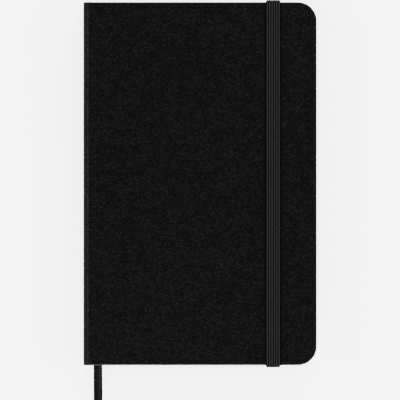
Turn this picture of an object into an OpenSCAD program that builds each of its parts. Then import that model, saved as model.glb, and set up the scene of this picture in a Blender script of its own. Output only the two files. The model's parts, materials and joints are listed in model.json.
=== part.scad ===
// Pocket notebook with a hard cover, an elastic closure, a ribbon marker and an inner rear pocket.
// It lies on its back cover: +Z up through the front cover, +Y to the head, spine at -X.
// Millimetres. The origin is at the centre of the back cover's underside.

/* [Cover] */
// Width of the closed cover, spine edge to fore edge
body_w = 90; // [70:1:150]
// Height of the cover, tail to head
body_h = 140; // [100:1:230]
// Radius of the two corners at the fore edge
corner_r = 7.3; // [3:0.1:12]
// Thickness of each cover board
board_t = 2.0; // [1.8:0.1:3]
// Thickness of the covering material
cloth_t = 0.3; // [0.2:0.05:0.5]
// Thickness of the pastedowns and flyleaves
endpaper_t = 0.15; // [0.1:0.01:0.25]
// Width of the covering material turned in over each board's edges
turn_in = 4; // [3:0.5:12]

/* [Spine] */
// Thickness of the card in the spine
spine_card_t = 0.6; // [0.4:0.1:1.2]
// Distance from each hinge line to the board's edge
joint_gap = 1.5; // [1.4:0.1:3]
// Outer rounding of the covering where it turns over the spine
spine_round = 1.9; // [1:0.1:2.5]

/* [Pages] */
// Thickness of one sewn signature
sig_t = 0.64; // [0.4:0.02:1]
// Air left between two signatures
sig_gap = 0.03; // [0.02:0.01:0.1]
// Distance from the page edges to the cover edges
square_w = 2.0; // [1:0.1:4]
// Radius of the page corners
page_r = 6.0; // [2:0.1:10]
// Thickness of a loose leaf
leaf_t = 0.12; // [0.08:0.01:0.2]

/* [Pocket] */
// Distance from the cover's spine edge to the pocket's mouth
pocket_mouth = 17; // [14:1:40]
// Thickness of the pocket's front panel
panel_t = 0.2; // [0.15:0.05:0.5]
// Height of the folded gussets behind the panel
gusset_h = 0.4; // [0.3:0.05:1]
// Width of the folded gussets
gusset_w = 5; // [3:0.5:10]

/* [Elastic and ribbon] */
// Width of the elastic
band_w = 5.45; // [3:0.05:10]
// Thickness of the elastic
band_t = 0.85; // [0.5:0.05:1]
// Distance from the fore edge to the middle of the elastic
band_in = 16.5; // [10:0.5:40]
// Length of elastic that lies on the back cover at each end
band_tab = 8; // [5:0.5:15]
// Width of the ribbon marker
ribbon_w = 3.45; // [2:0.05:8]
// Thickness of the ribbon marker
ribbon_t = 0.2; // [0.15:0.01:0.4]
// Distance from the spine edge to the middle of the ribbon
ribbon_in = 5.55; // [5:0.05:12]
// Length of ribbon that shows below the cover's tail edge
ribbon_out = 13.7; // [5:0.1:40]

/* [Hidden] */
$fn = 48;

slit_c = 0.06;    // clearance round the elastic in its slit, relief and recess
hair = 0.05;      // air between pieces that part when the notebook opens
fit = 0.1;        // clearance of the pocket panel under the pages
lining_t = 0.3;   // thickness of the mull and its glue
thread_d = 0.2;   // thickness of the sewing thread
sig_n = 12;

xs = -body_w / 2;                            // spine edge
xf = body_w / 2;                             // fore edge
hinge_x = xs + cloth_t + spine_card_t + 0.4; // both hinge lines
board_x = hinge_x + joint_gap;               // the boards' spine-side edge
hinge_z0 = cloth_t + board_t + endpaper_t;   // rear hinge line, inside face of the back cover
panel_z = hinge_z0 + gusset_h;
fly_z = panel_z + panel_t + fit;
sig_z = fly_z + endpaper_t + ribbon_t + 2 * hair;
sig_p = sig_t + sig_gap;
leaf2_z = sig_z + sig_n * sig_p + hair;
leaf1_z = leaf2_z + leaf_t + hair;
fly2_z = leaf1_z + leaf_t + hair;
hinge_z1 = fly2_z + endpaper_t + hair;       // front hinge line, inside face of the front cover
top_z = hinge_z1 + endpaper_t + board_t + cloth_t;
page_x0 = hinge_x + lining_t + thread_d + 0.02;
page_x1 = xf - square_w;
page_hy = body_h / 2 - square_w;
band_x = xf - band_in;
ribbon_x = xs + ribbon_in;
mouth_x = xs + pocket_mouth;
panel_x1 = page_x1 - 0.5;
panel_hy = page_hy - 2;

// A flat sheet from x0 to x1, with its two fore-edge corners rounded
module sheet2d(x0, x1, hy, r) {
  translate([x0, -hy]) square([x1 - r - x0, 2 * hy]);
  translate([x0, r - hy]) square([x1 - x0, 2 * (hy - r)]);
  for (s = [-1, 1]) translate([x1 - r, s * (hy - r)]) circle(r = r);
}
module slab(x0, x1, hy, r, z, t) { translate([0, 0, z]) linear_extrude(height = t) sheet2d(x0, x1, hy, r); }
module box3(x0, x1, y0, y1, z0, z1) { translate([x0, y0, z0]) cube([x1 - x0, y1 - y0, z1 - z0]); }

// The way the elastic takes through the back cover, at one end; e is the clearance round it
module band_way(s, e) {
  a = body_h / 2 - band_tab;
  w = band_w / 2 + e;
  mirror([0, s < 0 ? 1 : 0, 0]) {
    box3(band_x - w, band_x + w, a - 1 - e, body_h / 2 + (e > 0 ? 1 : hair + band_t), e > 0 ? -1 : 0, band_t + e);
    box3(band_x - w, band_x + w, a - 1 - e, a + e, e > 0 ? -1 : 0, cloth_t + board_t + (e > 0 ? 0.001 : 0));
    box3(band_x - w, band_x + w, a - 13 - e, a + e, cloth_t + board_t - band_t - e, cloth_t + board_t + (e > 0 ? 0.001 : 0));
  }
}

// ---- back cover ----
module back_board() color([0.48, 0.44, 0.38]) difference() {
  slab(board_x, xf - cloth_t, body_h / 2 - cloth_t, corner_r - cloth_t, cloth_t, board_t);
  for (s = [-1, 1]) band_way(s, slit_c);
}
module cloth_over(z_out, z_in, z_turn, lo) {
  // the skin over a board: its outer face, its edges and the turn-ins on its inner face
  difference() {
    slab(board_x, xf, body_h / 2, corner_r, min(z_out, z_turn), abs(z_out - z_turn));
    slab(board_x - 1, xf - cloth_t, body_h / 2 - cloth_t, corner_r - cloth_t, lo, board_t);
    slab(board_x - 1, xf - turn_in, body_h / 2 - turn_in, corner_r - turn_in, min(z_in, z_turn) - (z_turn < z_in ? 1 : 0), endpaper_t + 1);
  }
}
module back_cover_cloth() color([0.02, 0.02, 0.02]) difference() {
  cloth_over(0, cloth_t + board_t, hinge_z0, cloth_t);
  for (s = [-1, 1]) band_way(s, slit_c);
}
module back_pastedown() color([0.86, 0.83, 0.74])
  slab(board_x, xf - turn_in - 0.02, body_h / 2 - turn_in - 0.02, corner_r - turn_in - 0.02, cloth_t + board_t, endpaper_t);

// A strip of covering material that turns from a cover's outer face to the spine's
module joint2d() intersection() {
  translate([xs, 0]) square([board_x - xs, hinge_z0 + 0.6]);
  difference() {
  union() {
    translate([xs + spine_round, 0]) square([board_x - xs - spine_round, hinge_z0 + 0.6]);
    translate([xs, spine_round]) square([board_x - xs, hinge_z0 + 0.6 - spine_round]);
    translate([xs + spine_round, spine_round]) circle(r = spine_round);
  }
  union() {
    translate([xs + spine_round, cloth_t]) square([board_x - xs, hinge_z0 + 5]);
    translate([xs + cloth_t, spine_round]) square([board_x - xs, hinge_z0 + 5]);
    translate([xs + spine_round, spine_round]) circle(r = spine_round - cloth_t);
  }
  }
}
module joint_strip() translate([0, body_h / 2, 0]) rotate([90, 0, 0]) linear_extrude(height = body_h) joint2d();
module rear_joint_cloth() color([0.02, 0.02, 0.02]) joint_strip();

// ---- rear pocket ----
module pocket_panel() color([0.84, 0.80, 0.70]) slab(mouth_x + 0.02, panel_x1, panel_hy, page_r - 1, panel_z, panel_t);
module pocket_mouth_binding() color([0.05, 0.05, 0.05]) difference() {
  box3(mouth_x - 0.5, mouth_x + 2.5, -panel_hy, panel_hy, panel_z - 0.08, panel_z + panel_t + 0.05);
  box3(mouth_x, mouth_x + 3, -panel_hy - 1, panel_hy + 1, panel_z - 0.005, panel_z + panel_t + 0.005);
}
module gusset(s) translate([mouth_x + 3, 0, hinge_z0]) mirror([0, s < 0 ? 1 : 0, 0]) {
  // one leaf on the pastedown, one leaf under the panel, joined at the inner fold
  l = panel_x1 - page_r - mouth_x - 3;
  y0 = panel_hy - 0.5 - gusset_w;
  translate([0, y0, 0.02]) cube([l, gusset_w, 0.1]);
  translate([0, y0, gusset_h - 0.2]) cube([l, gusset_w, 0.1]);
  translate([0, y0, 0.02]) cube([l, 0.1, gusset_h - 0.12]);
}
module pocket_gusset_head() color([0.05, 0.05, 0.05]) gusset(1);
module pocket_gusset_tail() color([0.05, 0.05, 0.05]) gusset(-1);

// ---- elastic closure ----
module band_head_end() color([0.03, 0.03, 0.03]) band_way(1, 0);
module band_tail_end() color([0.03, 0.03, 0.03]) band_way(-1, 0);
module band_arm(s) mirror([0, s < 0 ? 1 : 0, 0])
  box3(band_x - band_w / 2, band_x + band_w / 2, body_h / 2 + hair, body_h / 2 + hair + band_t, band_t, top_z + hair);
module band_head_arm() color([0.03, 0.03, 0.03]) band_arm(1);
module band_tail_arm() color([0.03, 0.03, 0.03]) band_arm(-1);
module band_front_run() color([0.03, 0.03, 0.03])
  box3(band_x - band_w / 2, band_x + band_w / 2, -body_h / 2 - hair - band_t, body_h / 2 + hair + band_t, top_z + hair, top_z + hair + band_t);

// ---- text block ----
module page_stack(z, t) color([0.88, 0.85, 0.76]) slab(page_x0, page_x1, page_hy, page_r, z, t);
module rear_flyleaf() page_stack(fly_z, endpaper_t);
module sig(i) page_stack(sig_z + (i - 1) * sig_p, sig_t);
module signature_01() sig(1);
module signature_02() sig(2);
module signature_03() sig(3);
module signature_04() sig(4);
module signature_05() sig(5);
module signature_06() sig(6);
module signature_07() sig(7);
module signature_08() sig(8);
module signature_09() sig(9);
module signature_10() sig(10);
module signature_11() sig(11);
module signature_12() sig(12);
module sewing_thread() color([0.9, 0.9, 0.86])
  for (k = [-2:2]) box3(page_x0 - 0.01 - thread_d, page_x0 - 0.01, k * body_h / 6 - 3, k * body_h / 6 + 3, sig_z, sig_z + sig_n * sig_p - sig_gap);
module mull() color([0.8, 0.78, 0.7])
  box3(hinge_x, hinge_x + lining_t, -page_hy + 4, page_hy - 4, fly_z, sig_z + sig_n * sig_p);
module spine_card() color([0.48, 0.44, 0.38])
  box3(xs + cloth_t, xs + cloth_t + spine_card_t, -body_h / 2 + cloth_t, body_h / 2 - cloth_t, hinge_z0 + 0.6, hinge_z1 - 0.6);
module spine_cloth() color([0.02, 0.02, 0.02])
  box3(xs, xs + cloth_t, -body_h / 2, body_h / 2, hinge_z0 + 0.6, hinge_z1 - 0.6);

// The marker lies flat in the block and drops to the table beyond the tail
module ribbon2d() {
  ye = -body_h / 2 - ribbon_out;
  zr = fly_z + endpaper_t + hair;
  ya = -page_hy - 0.4;
  yb = ye + 2;
  polygon([[page_hy - 1, zr], [ya, zr], [ya - (ya - yb) * 0.25, zr * 0.88], [ya - (ya - yb) * 0.5, zr * 0.55],
    [ya - (ya - yb) * 0.78, zr * 0.16 + 0.02], [yb, 0.03], [ye, 0.03],
    [ye, 0.03 + ribbon_t], [yb, 0.03 + ribbon_t], [ya - (ya - yb) * 0.76, zr * 0.16 + 0.06 + ribbon_t],
    [ya - (ya - yb) * 0.48, zr * 0.55 + ribbon_t * 1.15], [ya - (ya - yb) * 0.23, zr * 0.88 + ribbon_t * 1.1],
    [ya, zr + ribbon_t], [page_hy - 1, zr + ribbon_t]]);
}
module ribbon_marker() color([0.04, 0.04, 0.04])
  translate([ribbon_x - ribbon_w / 2, 0, 0]) rotate([90, 0, 90]) linear_extrude(height = ribbon_w) ribbon2d();

// ---- leaves that turn with the cover ----
module leaf_2() page_stack(leaf2_z, leaf_t);
module leaf_1() page_stack(leaf1_z, leaf_t);
module front_flyleaf() page_stack(fly2_z, endpaper_t);

// ---- front cover ----
module front_pastedown() color([0.86, 0.83, 0.74])
  slab(board_x, xf - turn_in - 0.02, body_h / 2 - turn_in - 0.02, corner_r - turn_in - 0.02, hinge_z1, endpaper_t);
module front_board() color([0.48, 0.44, 0.38])
  slab(board_x, xf - cloth_t, body_h / 2 - cloth_t, corner_r - cloth_t, hinge_z1 + endpaper_t, board_t);
module front_cover_cloth() color([0.02, 0.02, 0.02])
  cloth_over(top_z, hinge_z1 + endpaper_t, hinge_z1, hinge_z1 + endpaper_t);
module front_joint_cloth() color([0.02, 0.02, 0.02]) translate([0, 0, top_z]) mirror([0, 0, 1]) joint_strip();

back_board();
back_cover_cloth();
back_pastedown();
rear_joint_cloth();
pocket_panel();
pocket_mouth_binding();
pocket_gusset_head();
pocket_gusset_tail();
band_head_end();
band_tail_end();
band_head_arm();
band_tail_arm();
band_front_run();
rear_flyleaf();
signature_01();
signature_02();
signature_03();
signature_04();
signature_05();
signature_06();
signature_07();
signature_08();
signature_09();
signature_10();
signature_11();
signature_12();
sewing_thread();
mull();
spine_card();
spine_cloth();
ribbon_marker();
leaf_2();
leaf_1();
front_flyleaf();
front_pastedown();
front_board();
front_cover_cloth();
front_joint_cloth();
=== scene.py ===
import bpy
import json
import math
import random
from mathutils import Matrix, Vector

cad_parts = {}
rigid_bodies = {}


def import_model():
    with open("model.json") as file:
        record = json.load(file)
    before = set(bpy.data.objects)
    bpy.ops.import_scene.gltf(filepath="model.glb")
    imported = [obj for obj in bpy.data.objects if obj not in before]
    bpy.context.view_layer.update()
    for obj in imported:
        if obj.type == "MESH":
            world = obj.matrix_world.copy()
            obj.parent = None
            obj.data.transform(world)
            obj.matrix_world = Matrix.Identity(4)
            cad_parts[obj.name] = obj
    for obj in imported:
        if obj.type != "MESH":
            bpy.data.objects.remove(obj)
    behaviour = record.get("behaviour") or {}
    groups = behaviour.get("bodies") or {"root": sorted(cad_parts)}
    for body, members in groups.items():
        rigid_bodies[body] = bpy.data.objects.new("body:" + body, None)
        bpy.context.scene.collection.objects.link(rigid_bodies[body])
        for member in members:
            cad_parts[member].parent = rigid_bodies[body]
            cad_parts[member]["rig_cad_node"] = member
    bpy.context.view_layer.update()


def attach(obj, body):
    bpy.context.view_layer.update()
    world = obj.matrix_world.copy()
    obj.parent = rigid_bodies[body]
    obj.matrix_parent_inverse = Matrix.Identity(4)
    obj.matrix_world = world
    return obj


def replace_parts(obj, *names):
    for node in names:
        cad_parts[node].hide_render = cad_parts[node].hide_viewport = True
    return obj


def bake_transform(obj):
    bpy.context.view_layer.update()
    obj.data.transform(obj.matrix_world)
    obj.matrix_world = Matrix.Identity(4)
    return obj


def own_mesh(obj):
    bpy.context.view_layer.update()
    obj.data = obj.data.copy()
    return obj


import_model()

# ---------------------------------------------------------------- table, light and camera
# A white table top that gives off its own light, so that it comes out near white, under an even
# white sky. A soft box on each side brings out the black cover's grain, and no lamp shows in it.
# The camera looks straight down.
bpy.ops.mesh.primitive_plane_add(size=6, location=(0, 0, -0.0002))
table = bpy.context.object
table.name = "table_top"
paint = bpy.data.materials.new("table_white")
paint.use_nodes = True
enamel = paint.node_tree.nodes["Principled BSDF"].inputs
enamel["Base Color"].default_value = (0.97, 0.97, 0.97, 1)
enamel["Roughness"].default_value = 0.9
enamel["Emission Color"].default_value = (1, 1, 1, 1)
enamel["Emission Strength"].default_value = 3.0
table.data.materials.append(paint)

sky = bpy.data.worlds.new("studio")
sky.use_nodes = True
sky.node_tree.nodes["Background"].inputs["Color"].default_value = (1, 1, 1, 1)
sky.node_tree.nodes["Background"].inputs["Strength"].default_value = 0.55
bpy.context.scene.world = sky

BOX_WIDE, BOX_FLAT, LIT_POINT = 0.6, 0.6, Vector((0, 0, 0.01))
for name, at, power in (
    ("box_at_tail", (-0.15, -0.72, 0.46), 20),
    ("box_at_head", (0.2, 0.74, 0.5), 16),
    ("box_at_spine", (-0.78, 0.1, 0.5), 13),
    ("box_at_fore_edge", (0.78, -0.05, 0.5), 13),
):
    lamp = bpy.data.lights.new(name, "AREA")
    lamp.shape = "RECTANGLE"
    lamp.size, lamp.size_y = BOX_WIDE, BOX_WIDE * BOX_FLAT
    lamp.energy = power
    stand = bpy.data.objects.new(name, lamp)
    stand.location = at
    stand.rotation_euler = (LIT_POINT - Vector(at)).to_track_quat("-Z", "Y").to_euler()
    bpy.context.scene.collection.objects.link(stand)

COVER_HEIGHT, EYE_ABOVE_COVER, EYE_TO_TAIL = 0.0147, 1.712, 0.0063
eye = bpy.data.cameras.new("eye")
eye.lens, eye.sensor_width = 400, 36
camera = bpy.data.objects.new("eye", eye)
camera.location = (0.0, -EYE_TO_TAIL, COVER_HEIGHT + EYE_ABOVE_COVER)
bpy.context.scene.collection.objects.link(camera)
bpy.context.scene.camera = camera

# ---------------------------------------------------------------- front cover
# Two millimetres of grey board wrapped in black leatherette. The material is pulled round the head,
# tail and fore edge, so they are softly rounded, and glued down inside under the pastedown.
MM = 0.001


class Shade:
    """A number or colour in a material, so that shader maths reads as sums."""

    def __init__(self, bench, socket):
        self.bench, self.socket = bench, socket

    def _with(self, how, first, second):
        n = self.bench.put("ShaderNodeMath", operation=how)
        self.bench.feed(n.inputs[0], first)
        self.bench.feed(n.inputs[1], second)
        return Shade(self.bench, n.outputs[0])

    def __add__(self, other):
        return self._with("ADD", self, other)

    def __radd__(self, other):
        return self._with("ADD", other, self)

    def __sub__(self, other):
        return self._with("SUBTRACT", self, other)

    def __rsub__(self, other):
        return self._with("SUBTRACT", other, self)

    def __mul__(self, other):
        return self._with("MULTIPLY", self, other)

    def __rmul__(self, other):
        return self._with("MULTIPLY", other, self)

    def __truediv__(self, other):
        return self._with("DIVIDE", self, other)

    def __pow__(self, other):
        return self._with("POWER", self, other)

    def at_most(self, other):
        return self._with("MINIMUM", self, other)

    def at_least(self, other):
        return self._with("MAXIMUM", self, other)

    def over(self, other):
        return self._with("GREATER_THAN", self, other)

    def wave(self):
        return self._with("SINE", self, 0.0)

    def size(self):
        return self._with("ABSOLUTE", self, 0.0)


class Bench:
    """One material being mixed."""

    def __init__(self, name):
        self.made = bpy.data.materials.new(name)
        self.made.use_nodes = True
        self.tree = self.made.node_tree
        self.skin = self.tree.nodes["Principled BSDF"]
        where = self.put("ShaderNodeTexCoord").outputs["Object"]
        cut = self.put("ShaderNodeSeparateXYZ")
        self.tree.links.new(where, cut.inputs[0])
        self.where = Shade(self, where)
        self.x, self.y, self.z = (Shade(self, s) for s in cut.outputs)

    def put(self, kind, **given):
        n = self.tree.nodes.new(kind)
        for k, v in given.items():
            setattr(n, k, v)
        return n

    def feed(self, socket, value):
        if isinstance(value, Shade):
            self.tree.links.new(value.socket, socket)
        elif isinstance(value, tuple) and len(value) == 3 and socket.type == "RGBA":
            socket.default_value = (*value, 1)
        else:
            socket.default_value = value

    def noise(self, scale, detail=2.0, rough=0.5, at=None):
        n = self.put("ShaderNodeTexNoise")
        self.feed(n.inputs["Vector"], at or self.where)
        for k, v in (("Scale", scale), ("Detail", detail), ("Roughness", rough)):
            self.feed(n.inputs[k], v)
        return Shade(self, n.outputs["Fac"])

    def cells(self, scale, feature="F1", at=None):
        n = self.put("ShaderNodeTexVoronoi", feature=feature)
        self.feed(n.inputs["Vector"], at or self.where)
        self.feed(n.inputs["Scale"], scale)
        return Shade(self, n.outputs["Distance"])

    def stretched(self, turn, scale):
        n = self.put("ShaderNodeMapping")
        self.feed(n.inputs["Vector"], self.where)
        n.inputs["Rotation"].default_value = (0, 0, math.radians(turn))
        n.inputs["Scale"].default_value = scale
        return Shade(self, n.outputs[0])

    def mix(self, share, a, b):
        n = self.put("ShaderNodeMix", data_type="RGBA", clamp_factor=False)
        self.feed(n.inputs[0], share)
        self.feed(n.inputs[6], a)
        self.feed(n.inputs[7], b)
        return Shade(self, n.outputs[2])

    def ramp(self, value, low, high):
        n = self.put("ShaderNodeMapRange")
        self.feed(n.inputs["Value"], value)
        n.inputs["From Min"].default_value = low
        n.inputs["From Max"].default_value = high
        return Shade(self, n.outputs[0])

    def relief(self, height, depth):
        n = self.put("ShaderNodeBump")
        n.inputs["Strength"].default_value = 1.0
        n.inputs["Distance"].default_value = depth
        self.feed(n.inputs["Height"], height)
        self.feed(self.skin.inputs["Normal"], Shade(self, n.outputs[0]))

    def finish(self, colour, roughness, **fixed):
        self.feed(self.skin.inputs["Base Color"], colour)
        self.feed(self.skin.inputs["Roughness"], roughness)
        for k, v in fixed.items():
            self.skin.inputs[k.replace("_", " ")].default_value = v
        return self.made


def grey(level):
    return (level, level, level)


RIDGE_AT, CREASE_AT, BOARDS_BEGIN = -0.04325, -0.04415, -0.0424
BAND_CENTRE, FRONT_FACE, TURNING_EDGE = 0.0282, 0.0140, 0.01434


def leatherette():
    b = Bench("black_leatherette")
    slanted = b.stretched(28, (0.66, 1.0, 1.0))
    pebbles = b.cells(1350, "F1", slanted)
    creases = b.noise(1750, 1.0, 0.5, slanted)
    broad = b.noise(260, 2.0)
    grain = (1.0 - pebbles) * 0.7 + creases * 1.3 + broad * 0.14
    handled = b.noise(35, 2.0)
    b.relief(grain, 0.00022)
    high = b.ramp(grain, 0.98, 1.60)
    # a painted highlight along the ridge of the fold, and a painted line of shade in the crease outside it
    ridge = 1.0 - ((b.x - RIDGE_AT).size() * 2400.0).at_most(1.0)
    crease_shade = 1.0 - ((b.x - CREASE_AT).size() * 2000.0).at_most(1.0)
    # painted shadow: a dark line on the front cover along both sides of the elastic, where the band shades
    # it
    beside = (b.x - BAND_CENTRE).size()
    near_band = b.ramp(beside, 0.00262, 0.00275) * (1.0 - b.ramp(beside, 0.0030, 0.0037))
    band_contact_shadow = near_band * b.z.over(FRONT_FACE)
    # painted highlight: the skin is made lighter where it rounds over the front cover's edges, as lit
    # edges
    rim_highlight = (1.0 - (b.z - TURNING_EDGE).size() * 3300.0).at_least(0.0)
    rim_highlight = rim_highlight * (b.x.over(BOARDS_BEGIN) * 6.5 + 1.2)
    tone = (high + rim_highlight + ridge * (creases * 4.0)) * (1.0 - band_contact_shadow * 0.98) * (1.0 - crease_shade * 0.85)
    colour = b.mix(tone, grey(0.00002), (0.0030, 0.0030, 0.00295))
    return b.finish(colour, 0.56 + handled * 0.10 - high * 0.06, Specular_IOR_Level=0.035)


cover_skin = leatherette()
WIDE, TALL, CORNER = 90 * MM, 140 * MM, 7.3 * MM
BOARD_FROM, SPINE_AT = -42.2 * MM, -45 * MM
SKIN, PAPER, TURNED = 0.3 * MM, 0.15 * MM, 4 * MM
TOP, HINGE_UP, HINGE_DOWN = 14.68 * MM, 12.23 * MM, 2.45 * MM


def cut_line(x0, x1, half, r, steps=14):
    """A sheet's outline, from the spine edge at the tail round the two rounded corners."""
    line = [(x0, -half)]
    for cy, first in ((-half + r, -90), (half - r, 0)):
        for k in range(steps + 1):
            a = math.radians(first + 90 * k / steps)
            line.append((x1 - r + r * math.cos(a), cy + r * math.sin(a)))
    line.append((x0, half))
    return line


def solid(name, points, faces, material, smooth=35):
    mesh = bpy.data.meshes.new(name)
    mesh.from_pydata(points, [], faces)
    mesh.update()
    mesh.shade_smooth()
    mesh.set_sharp_from_angle(angle=math.radians(smooth))
    mesh.materials.append(material)
    made = bpy.data.objects.new(name, mesh)
    bpy.context.scene.collection.objects.link(made)
    return made


def tube_faces(rows, n, turned=False):
    """Faces of a skin through rows of n points each, with both ends closed flat."""
    faces = []
    for row in range(rows - 1):
        a, c = row * n, (row + 1) * n
        faces += [(a + k, a + (k + 1) % n, c + (k + 1) % n, c + k) for k in range(n)]
    faces += [tuple(range(n))[::-1], tuple(range((rows - 1) * n, rows * n))]
    return [face[::-1] for face in faces] if turned else faces


def stacked(name, rings, material, smooth=35):
    """A skin through outlines of equal count, each with its own height."""
    points = [(x, y, z) for line, z in rings for x, y in line]
    return solid(name, points, tube_faces(len(rings), len(rings[0][0])), material, smooth)


def wrapped_cover(name, outer, inner):
    """The skin of one cover, from its outer face round its edges to the turn-in."""
    up = 1 if outer > inner else -1
    deep = abs(outer - inner)

    def ring(inset, down):
        return cut_line(BOARD_FROM, WIDE / 2 - inset, TALL / 2 - inset, CORNER - inset), outer - up * down

    rings = [ring(TURNED, deep - 0.5 * PAPER), ring(TURNED, deep), ring(0.55 * MM, deep)]
    rings += [ring(0.2 * MM, deep - 0.12 * MM), ring(0.02 * MM, deep - 0.4 * MM)]
    rounding = ((0.0, 0.85), (0.04, 0.5), (0.16, 0.26), (0.36, 0.10), (0.62, 0.03), (0.95, 0.0))
    rings += [ring(inset * MM, down * MM) for inset, down in rounding]
    if up < 0:
        rings = rings[::-1]
    return stacked(name, rings, cover_skin)


front_skin = wrapped_cover("front_cover_skin", TOP, HINGE_UP)
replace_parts(front_skin, "front_cover_cloth")
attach(front_skin, "front_cover")

# ---------------------------------------------------------------- back cover
# The same board and leatherette. Near the fore edge the elastic's ends sink into it at head and
# tail and go inside through two slits, which they fill and hide.
back_skin = wrapped_cover("back_cover_skin", 0.0, HINGE_DOWN)
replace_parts(back_skin, "back_cover_cloth")
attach(back_skin, "back_cover")

# ---------------------------------------------------------------- covers' boards
# Plain grey millboard, die cut with two rounded corners. It is wholly wrapped, and shows only
# where the spine-side edge faces the hinge.
def millboard():
    b = Bench("grey_millboard")
    fibre = b.noise(1800, 4.0, 0.65)
    flecks = b.noise(240, 2.0).over(0.62)
    b.relief(fibre, 0.00004)
    colour = b.mix(fibre * 0.8 + flecks * 0.2, (0.21, 0.18, 0.14), (0.37, 0.33, 0.27))
    return b.finish(colour, 0.86 + fibre * 0.1)


raw_board = millboard()


def dress(node, material):
    """Gives a part that comes straight from the CAD its own finish."""
    part = next(o for o in bpy.data.objects if o.get("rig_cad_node") == node)
    part.data.materials.clear()
    part.data.materials.append(material)


for node in ("front_board", "back_board", "spine_card"):
    dress(node, raw_board)

# ---------------------------------------------------------------- spine and hinges
# One width of leatherette runs from cover to cover over the spine card. Between card and board it
# is free, which makes the hinge; the fold leaves a fine ridge along the edge. The leatherette's
# colour paints a highlight along the ridge and a line of shade in the crease outside it.
ROUND, SPINE_END, BEND_DEEP, FOLD_THIN = 1.9 * MM, 3.05 * MM, 4.25 * MM, 0.8


def hinge_line(top_down):
    """The fold's outer side, from the cover's face over the spine edge to the spine."""
    line = [(BOARD_FROM + 0.25 * MM, 0.0), (BOARD_FROM - 0.2 * MM, 0.006 * MM)]
    hollow = ((-42.9, 0.03), (-43.25, 0.035), (-43.45, 0.0))
    ridge = ((-43.6, -0.035), (-43.75, 0.01), (-43.95, 0.14))
    line += [(x * MM, down * MM) for x, down in hollow + ridge]
    for k in range(1, 11):
        a = math.radians(32 + 58 * k / 10)
        line.append((SPINE_AT + ROUND - ROUND * math.sin(a), ROUND - ROUND * math.cos(a)))
    line += [(SPINE_AT, z * MM) for z in (2.2, 2.6)] + [(SPINE_AT, top_down)]
    return line


def hinge_skin(name, face, up):
    outer = hinge_line(SPINE_END)
    inner = []
    for i, (x, down) in enumerate(outer):
        (x0, d0), (x1, d1) = outer[max(i - 1, 0)], outer[min(i + 1, len(outer) - 1)]
        t = Vector((x1 - x0, d1 - d0)).normalized()
        inner.append((x + t.y * SKIN * FOLD_THIN, down - t.x * SKIN * FOLD_THIN))
    loop = outer + inner[::-1]
    rows, points = 57, []
    for r in range(rows):
        y = TALL * (r / (rows - 1) - 0.5)
        tuck = 0.12 * MM if r in (0, rows - 1) else 0.0
        points += [(x + tuck * 0.5, y, face - up * (down + tuck)) for x, down in loop]
    made = solid(name, points, tube_faces(rows, len(loop), up < 0), cover_skin, 60)
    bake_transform(made)
    return made


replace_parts(hinge_skin("front_hinge_skin", TOP, 1), "front_joint_cloth")
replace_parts(hinge_skin("rear_hinge_skin", 0.0, -1), "rear_joint_cloth")
dress("spine_cloth", cover_skin)

# ---------------------------------------------------------------- endpapers
# Ivory paper, a little heavier than the pages. One half of each sheet is pasted over the turn-ins
# and the other half is the loose flyleaf.
def laid_paper(name, low, high):
    b = Bench(name)
    cloud = b.noise(90, 3.0)
    fibre = b.noise(3800, 3.0, 0.6)
    b.relief(fibre, 0.000012)
    return b.finish(b.mix(cloud * 0.6 + fibre * 0.4, low, high), 0.8 + fibre * 0.12)


ivory = laid_paper("ivory_endpaper", (0.50, 0.43, 0.29), (0.62, 0.55, 0.40))
for node in ("front_pastedown", "back_pastedown", "rear_flyleaf", "front_flyleaf"):
    dress(node, ivory)

# ---------------------------------------------------------------- rear pocket
# A pouch of ivory card on the back cover's inside. Folded black bookcloth closes its head and
# tail, and a strip of the same cloth binds the mouth, which faces the spine.
def bookcloth():
    b = Bench("black_bookcloth")
    weave = (b.x * 9000.0).wave() * (b.y * 9000.0).wave()
    b.relief(weave, 0.00003)
    colour = b.mix(weave * 0.5 + 0.5, grey(0.0012), grey(0.0075))
    return b.finish(colour, 0.86 - weave * 0.05, Specular_IOR_Level=0.08)


pouch_cloth = bookcloth()
dress("pocket_panel", laid_paper("ivory_card", (0.48, 0.41, 0.27), (0.58, 0.51, 0.36)))
dress("pocket_mouth_binding", pouch_cloth)


def gusset(name, side):
    """A strip folded once inwards: one leaf lies on the cover, the other hangs from the panel."""
    x0, x1, out, deep = -25 * MM, 36.5 * MM, 65.4 * MM, 5 * MM
    low, middle, high, cols = 2.475 * MM, 2.645 * MM, 2.82 * MM, 40
    fold = [(out, low), (out - deep * 0.5, low), (out - deep * 0.9, low + 0.05 * MM), (out - deep, middle)]
    fold += [(out - deep * 0.9, high - 0.05 * MM), (out - deep * 0.5, high), (out, high)]
    points = [(x0 + (x1 - x0) * c / cols, side * y, z) for c in range(cols + 1) for y, z in fold]
    n, faces = len(fold), []
    for c in range(cols):
        a, b = c * n, (c + 1) * n
        faces += [(a + k, b + k, b + k + 1, a + k + 1) for k in range(n - 1)]
    if side < 0:
        faces = [face[::-1] for face in faces]
    made = solid(name, points, faces, pouch_cloth, 60)
    thick = made.modifiers.new("cloth", "SOLIDIFY")
    thick.thickness, thick.offset = 0.06 * MM, 0.0
    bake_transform(made)
    return made


for end, side in (("head", 1), ("tail", -1)):
    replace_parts(gusset(f"pocket_gusset_{end}_cloth", side), f"pocket_gusset_{end}")

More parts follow.
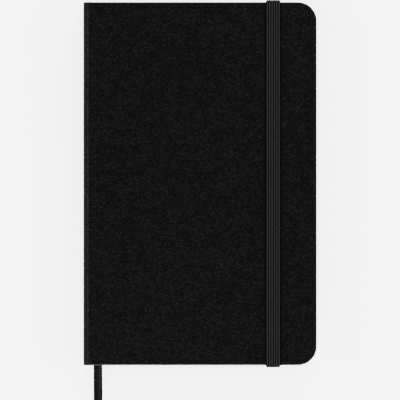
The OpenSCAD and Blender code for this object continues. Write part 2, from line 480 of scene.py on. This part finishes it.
# ---------------------------------------------------------------- pages
# Twelve signatures of eight leaves, each folded, sewn through its fold and trimmed together with
# the others. Every leaf's edge shows at head, tail and fore edge, none quite level with the next.
def page_paper():
    b = Bench("ivory_pages")
    cloud = b.noise(60, 2.0)
    fibre = b.noise(3500, 3.0, 0.6)
    edge = (b.z * (math.tau / 0.00008)).wave() * 0.5 + 0.5
    b.relief(fibre * 0.4 + edge * 0.3, 0.00001)
    colour = b.mix(cloud * 0.35 + fibre * 0.3 + edge * 0.35, (0.40, 0.34, 0.22), (0.64, 0.57, 0.42))
    return b.finish(colour, 0.84 + fibre * 0.1)


pages = page_paper()
PAGE_FROM, PAGE_TO, PAGE_HALF, PAGE_ROUND = -43.18 * MM, 43 * MM, 68 * MM, 6 * MM


def tree_of(name, inputs):
    """An empty geometry tree with named inputs, and a way to add nodes to it."""
    tree = bpy.data.node_groups.new(name, "GeometryNodeTree")
    tree.interface.new_socket(name="Geometry", in_out="INPUT", socket_type="NodeSocketGeometry")
    for label, kind in inputs:
        tree.interface.new_socket(name=label, in_out="INPUT", socket_type="NodeSocket" + kind)
    tree.interface.new_socket(name="Geometry", in_out="OUTPUT", socket_type="NodeSocketGeometry")

    def put(kind, links, **given):
        n = tree.nodes.new(kind)
        for k, v in given.items():
            setattr(n, k, v)
        for k, v in links.items():
            if isinstance(v, bpy.types.NodeSocket):
                tree.links.new(v, n.inputs[k])
            else:
                n.inputs[k].default_value = v
        return n

    return tree, put, put("NodeGroupInput", {}).outputs


def grown(made, tree, slot, **values):
    """Runs a geometry tree on an object and keeps the result as its plain mesh."""
    work = made.modifiers.new("grow", "NODES")
    work.node_group = tree
    for item in tree.interface.items_tree:
        label = item.name.lower().replace(" ", "_")
        if item.in_out == "INPUT" and label in values:
            work[item.identifier] = values[label]
    bpy.context.view_layer.update()
    mesh = bpy.data.meshes.new_from_object(made.evaluated_get(bpy.context.evaluated_depsgraph_get()))
    made.modifiers.clear()
    made.data = mesh
    return made


leaf_sizes = [("Leaves", "Int"), ("First Height", "Float"), ("Pitch", "Float"), ("Uneven", "Float")]
leaf_sizes += [("Seed", "Int"), ("Paper", "Material")]
stack, put, given = tree_of("leaves_of_a_signature", leaf_sizes)
first = put("ShaderNodeCombineXYZ", {"Z": given["First Height"]}).outputs[0]
step = put("ShaderNodeCombineXYZ", {"Z": given["Pitch"]}).outputs[0]
sizes = {"Count": given["Leaves"], "Start Location": first, "Offset": step}
pile = put("GeometryNodeMeshLine", sizes, mode="OFFSET").outputs[0]
laid = put("GeometryNodeInstanceOnPoints", {"Points": pile, "Instance": given["Geometry"]}).outputs[0]
less = put("ShaderNodeMath", {0: 0.0, 1: given["Uneven"]}, operation="SUBTRACT").outputs[0]
far = put("ShaderNodeCombineXYZ", {"X": less, "Y": less}).outputs[0]
near = put("ShaderNodeCombineXYZ", {"Y": given["Uneven"]}).outputs[0]
limits = {0: far, 1: near, "Seed": given["Seed"]}
chance = put("FunctionNodeRandomValue", limits, data_type="FLOAT_VECTOR").outputs[0]
moved = put("GeometryNodeTranslateInstances", {"Instances": laid, "Translation": chance}).outputs[0]
whole = put("GeometryNodeRealizeInstances", {"Geometry": moved}).outputs[0]
coated = put("GeometryNodeSetMaterial", {"Geometry": whole, "Material": given["Paper"]}).outputs[0]
put("NodeGroupOutput", {"Geometry": coated})

SIGNATURES, LEAVES, FIRST_PAGE, SIGNATURE_PITCH, LEAF_PITCH = 12, 8, 3.6 * MM, 0.67 * MM, 0.08 * MM
full = cut_line(PAGE_FROM + 0.07 * MM, PAGE_TO, PAGE_HALF - 0.06 * MM, PAGE_ROUND, 10)
rubbed = cut_line(PAGE_FROM + 0.13 * MM, PAGE_TO - 0.08 * MM, PAGE_HALF - 0.14 * MM, PAGE_ROUND, 10)
leaf_rings = [(rubbed, 0.0), (full, 0.008 * MM), (full, 0.070 * MM), (rubbed, 0.078 * MM)]
for number in range(SIGNATURES):
    leaf = stacked(f"signature_pages_{number + 1:02d}", leaf_rings, pages, 30)
    low = FIRST_PAGE + 0.001 * MM + SIGNATURE_PITCH * number
    sizes = dict(leaves=LEAVES, first_height=low, pitch=LEAF_PITCH, uneven=0.06 * MM)
    made = grown(leaf, stack, "page_paper", seed=number + 3, paper=pages, **sizes)
    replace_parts(made, f"signature_{number + 1:02d}")
    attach(made, "text_block")
dress("leaf_1", pages)
dress("leaf_2", pages)

# ---------------------------------------------------------------- sewing and spine lining
# Waxed linen thread passes through every fold at five stations, and a strip of open cotton mull
# is glued over the folds to hold the signatures together.
def plain_thread():
    b = Bench("waxed_linen")
    twist = ((b.z + b.y * 0.6) * 16000.0).wave()
    b.relief(twist, 0.00004)
    return b.finish(b.mix(twist * 0.5 + 0.5, (0.55, 0.50, 0.38), (0.80, 0.76, 0.64)), 0.7 + twist * 0.05)


def open_mull():
    b = Bench("glued_mull")
    weave = (b.y * 5200.0).wave() * (b.z * 5200.0).wave()
    b.relief(weave, 0.00006)
    return b.finish(b.mix(weave * 0.5 + 0.5, (0.38, 0.33, 0.24), (0.66, 0.61, 0.49)), 0.62 + weave * 0.12)


def swept(name, section, at_x, way, material, smooth=50):
    """A section of (across, up) points carried along a path of (y, z) points, level with the spine."""
    n, points = len(section), []
    for i, (y, z) in enumerate(way):
        a, c = way[max(i - 1, 0)], way[min(i + 1, len(way) - 1)]
        t = Vector((c[0] - a[0], c[1] - a[1])).normalized()
        points += [(at_x + s, y - t.y * h, z + t.x * h) for s, h in section]
    return solid(name, points, tube_faces(len(way), n, True), material, smooth)


stitch_sizes = [("Stations", "Int"), ("First Station", "Float"), ("Station Pitch", "Float")]
stitch_sizes += [("Rows", "Int"), ("First Row", "Float"), ("Row Pitch", "Float"), ("Thread", "Material")]
rows_of, put, given = tree_of("rows_of_stitches", stitch_sizes)
start = put("ShaderNodeCombineXYZ", {"Y": given["First Station"]}).outputs[0]
step = put("ShaderNodeCombineXYZ", {"Y": given["Station Pitch"]}).outputs[0]
sizes = {"Count": given["Stations"], "Start Location": start, "Offset": step}
spots = put("GeometryNodeMeshLine", sizes, mode="OFFSET").outputs[0]
row = put("GeometryNodeInstanceOnPoints", {"Points": spots, "Instance": given["Geometry"]}).outputs[0]
start = put("ShaderNodeCombineXYZ", {"Z": given["First Row"]}).outputs[0]
step = put("ShaderNodeCombineXYZ", {"Z": given["Row Pitch"]}).outputs[0]
sizes = {"Count": given["Rows"], "Start Location": start, "Offset": step}
folds = put("GeometryNodeMeshLine", sizes, mode="OFFSET").outputs[0]
sewn = put("GeometryNodeInstanceOnPoints", {"Points": folds, "Instance": row}).outputs[0]
whole = put("GeometryNodeRealizeInstances", {"Geometry": sewn}).outputs[0]
waxed = put("GeometryNodeSetMaterial", {"Geometry": whole, "Material": given["Thread"]}).outputs[0]
put("NodeGroupOutput", {"Geometry": waxed})

linen = plain_thread()
THREAD_ROUND, STITCH_AT, STATIONS, STATION_PITCH = 0.085 * MM, -43.29 * MM, 5, TALL / 6
strand = []
for k in range(6):
    angle = math.radians(-60 * k)
    strand.append((THREAD_ROUND * math.cos(angle), THREAD_ROUND * math.sin(angle)))
half_stitch = [(2.78 * MM, 0.0), (2.9 * MM, 0.12 * MM), (2.9 * MM, 0.28 * MM)]
stitch_way = [(-y, -z) for y, z in half_stitch[::-1]] + half_stitch
stitch = swept("sewing_stitches", strand, STITCH_AT, stitch_way, linen)
along = dict(stations=STATIONS, first_station=-2 * STATION_PITCH, station_pitch=STATION_PITCH)
up = dict(rows=SIGNATURES, first_row=FIRST_PAGE + 0.32 * MM, row_pitch=SIGNATURE_PITCH)
sewing = grown(stitch, rows_of, "thread", thread=linen, **along, **up)
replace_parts(sewing, "sewing_thread")
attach(sewing, "text_block")
dress("mull", open_mull())

# ---------------------------------------------------------------- elastic closure
# Black knitted elastic with six raised ribs. Its ends pass through slits in the back cover and
# are glued inside; the loop goes over both edges and holds the covers shut.
RIBS, BAND_WIDE, BAND_THICK, RIB_DEEP = 6, 5.45 * MM, 0.85 * MM, 0.16 * MM


def ribbed_elastic():
    b = Bench("black_elastic")
    across = (b.x - BAND_CENTRE) / BAND_WIDE + 0.5
    # painted light and shade: the ribs' tops are made lighter and the grooves between them darker
    rib_light_and_shade = ((across * RIBS * math.tau) - math.pi / 2).wave() * 0.5 + 0.5
    along = b.y + b.z
    stitch = (along * 7800.0 + (across * RIBS * math.pi).wave() * 1.4).wave() * 0.5 + 0.5
    fuzz = b.noise(5200, 2.0)
    b.relief(stitch * 0.7 + fuzz * 0.5, 0.00009)
    knit_and_painted_rib_light = rib_light_and_shade * 0.55 + stitch * 0.25 + fuzz * 0.3
    colour = b.mix(b.ramp(knit_and_painted_rib_light, 0.36, 0.95) ** 1.3, grey(0.00003), grey(0.0150))
    return b.finish(colour, 0.80 + fuzz * 0.1, Specular_IOR_Level=0.03)


knit = ribbed_elastic()


def band_run(name, way):
    """Elastic laid along a path of (y, z) points; its face is ribbed and its edges are round."""
    section, count = [], 60
    for k in range(count + 1):
        u = k / count
        lift = RIB_DEEP * (0.5 - 0.5 * math.cos(u * RIBS * math.tau)) - RIB_DEEP
        edge = min(u, 1 - u) * BAND_WIDE
        fall = BAND_THICK * 0.25 * (1 - min(1, edge / (0.22 * MM))) ** 2
        section.append(((u - 0.5) * BAND_WIDE, BAND_THICK / 2 + lift - fall))
    for k in range(13):
        u = k / 12 - 0.5
        rise = 0.02 * MM + BAND_THICK * 0.3 * (abs(u) * 2) ** 8
        section.append((-u * BAND_WIDE, -BAND_THICK / 2 + rise))
    return swept(name, section, BAND_CENTRE, way, knit)


def bend(cy, cz, r, first, last, steps=10):
    angles = [math.radians(first + (last - first) * k / steps) for k in range(steps + 1)]
    return [(cy + r * math.cos(angle), cz + r * math.sin(angle)) for angle in angles]


# the run lies on the front cover and turns down over its head and tail edges
AIR, EDGE_ROUND, FLATTENED = 0.05 * MM, 0.75 * MM, 0.835
HIGH, OUT = TOP + AIR + BAND_THICK / 2, TALL / 2 + AIR + BAND_THICK / 2
straight = 2 * (OUT - EDGE_ROUND)
way = [(-OUT, HIGH - 1.6 * MM)] + bend(-OUT + EDGE_ROUND, HIGH - EDGE_ROUND, EDGE_ROUND, 180, 90)
way += [(-OUT + EDGE_ROUND + straight * k / 60, HIGH) for k in range(1, 60)]
way += bend(OUT - EDGE_ROUND, HIGH - EDGE_ROUND, EDGE_ROUND, 90, 0) + [(OUT, HIGH - 1.6 * MM)]
run = band_run("elastic_front_run", way)
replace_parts(run, "band_front_run")
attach(run, "elastic_run")
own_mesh(run)

# each arm rises past the pages; each end turns under the back cover and through its slit
LOW, SLIT_ROUND, IN_RELIEF, INSIDE = BAND_THICK / 2, 0.42 * MM, 61.95 * MM, 1.87 * MM
under = [(OUT, 0.95 * MM)] + bend(OUT - SLIT_ROUND, LOW + SLIT_ROUND, SLIT_ROUND, 0, -90, 6)
under += [(68 * MM, LOW), (64 * MM, LOW)]
through = bend(IN_RELIEF, LOW + SLIT_ROUND, SLIT_ROUND, -90, -180, 6)
through += bend(61.1 * MM, INSIDE - SLIT_ROUND, SLIT_ROUND, 0, 90, 6)
glued = [(58 * MM, INSIDE), (49.1 * MM, INSIDE)]
for end, side in (("head", 1), ("tail", -1)):
    rise = [(side * OUT, z * MM) for z in (0.85, 2, 4, 6, 8, 10, 12, 13.6)]
    arm = band_run(f"elastic_{end}_arm", rise if side < 0 else rise[::-1])
    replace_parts(arm, f"band_{end}_arm")
    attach(arm, f"elastic_{end}_arm")
    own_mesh(arm)
    turn = [(side * y, z) for y, z in under + through + glued]
    anchored = band_run(f"elastic_{end}_anchor", turn if side > 0 else turn[::-1])
    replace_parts(anchored, f"band_{end}_end")
    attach(anchored, "back_cover")

# ---------------------------------------------------------------- ribbon marker
# A narrow black woven ribbon, glued to the head of the spine. It lies between the rear flyleaf and
# the first signature, and its cut end hangs out at the tail and rests on the table.
RIBBON_AT, RIBBON_WIDE, RIBBON_THICK = -39.6 * MM, 3.45 * MM, 0.2 * MM


def woven_ribbon():
    b = Bench("black_ribbon")
    across = (b.x - RIBBON_AT) / RIBBON_WIDE + 0.5
    picks = (b.y * (math.tau / 0.0011)).wave() * 0.5 + 0.5
    fine = (b.y * (math.tau / 0.00037)).wave() * 0.5 + 0.5
    left, middle, right = (1.0 - ((across - at).size() * 7.0).at_most(1.0) for at in (0.22, 0.45, 0.69))
    fibre = b.noise(4200, 2.0)
    # the raised weave gives the ribbon's relief and also a painted sheen: its floats are made lighter
    raised_weave_and_sheen = left * fine * 0.35 + middle * (1.0 - picks) ** 2.0 * 0.7 + right * picks ** 2.0 * 2.0
    b.relief(raised_weave_and_sheen * 0.6 + fibre * 0.2, 0.0001)
    colour = b.mix(raised_weave_and_sheen, grey(0.00005), grey(0.0140))
    return b.finish(colour, 0.75 + fibre * 0.15, Specular_IOR_Level=0.03)


# level under the first signature, out past the tail edge and down to the table in one soft curve
LIE, GROUND, RIBBON_HEAD, FALLS_FROM, FALL_LONG = 3.45 * MM, 0.135 * MM, 67 * MM, -68.4 * MM, 12.6 * MM
course = [(RIBBON_HEAD - 3 * MM * k, LIE) for k in range(45)] + [(-67.5 * MM, LIE), (FALLS_FROM, LIE)]
for k in range(1, 25):
    u = k / 24
    drop = u * u * (3 - 2 * u)
    course.append((FALLS_FROM - FALL_LONG * u, LIE + (GROUND - LIE) * drop))
course += [(-82 * MM, GROUND), (-83.3 * MM, GROUND), (-84.45 * MM, GROUND)]
draw = random.Random(7)
points, around = [], 22
for i, (y, z) in enumerate(course):
    (y0, z0), (y1, z1) = course[max(i - 1, 0)], course[min(i + 1, len(course) - 1)]
    t = Vector((y1 - y0, z1 - z0)).normalized()
    for k in range(around):
        u, face = (k / 10, 1) if k < 11 else ((21 - k) / 10, -1)
        h = face * RIBBON_THICK * (0.5 - 0.32 * (abs(u - 0.5) * 2) ** 6)
        fray = draw.uniform(-0.1, 0.05) * MM if i == len(course) - 1 else 0.0
        points.append((RIBBON_AT + (u - 0.5) * RIBBON_WIDE, y + t.y * h + fray, z - t.x * h))
faces = tube_faces(len(course), around, True)
marker = solid("ribbon", points, faces, woven_ribbon(), 50)
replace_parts(marker, "ribbon_marker")
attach(marker, "text_block")
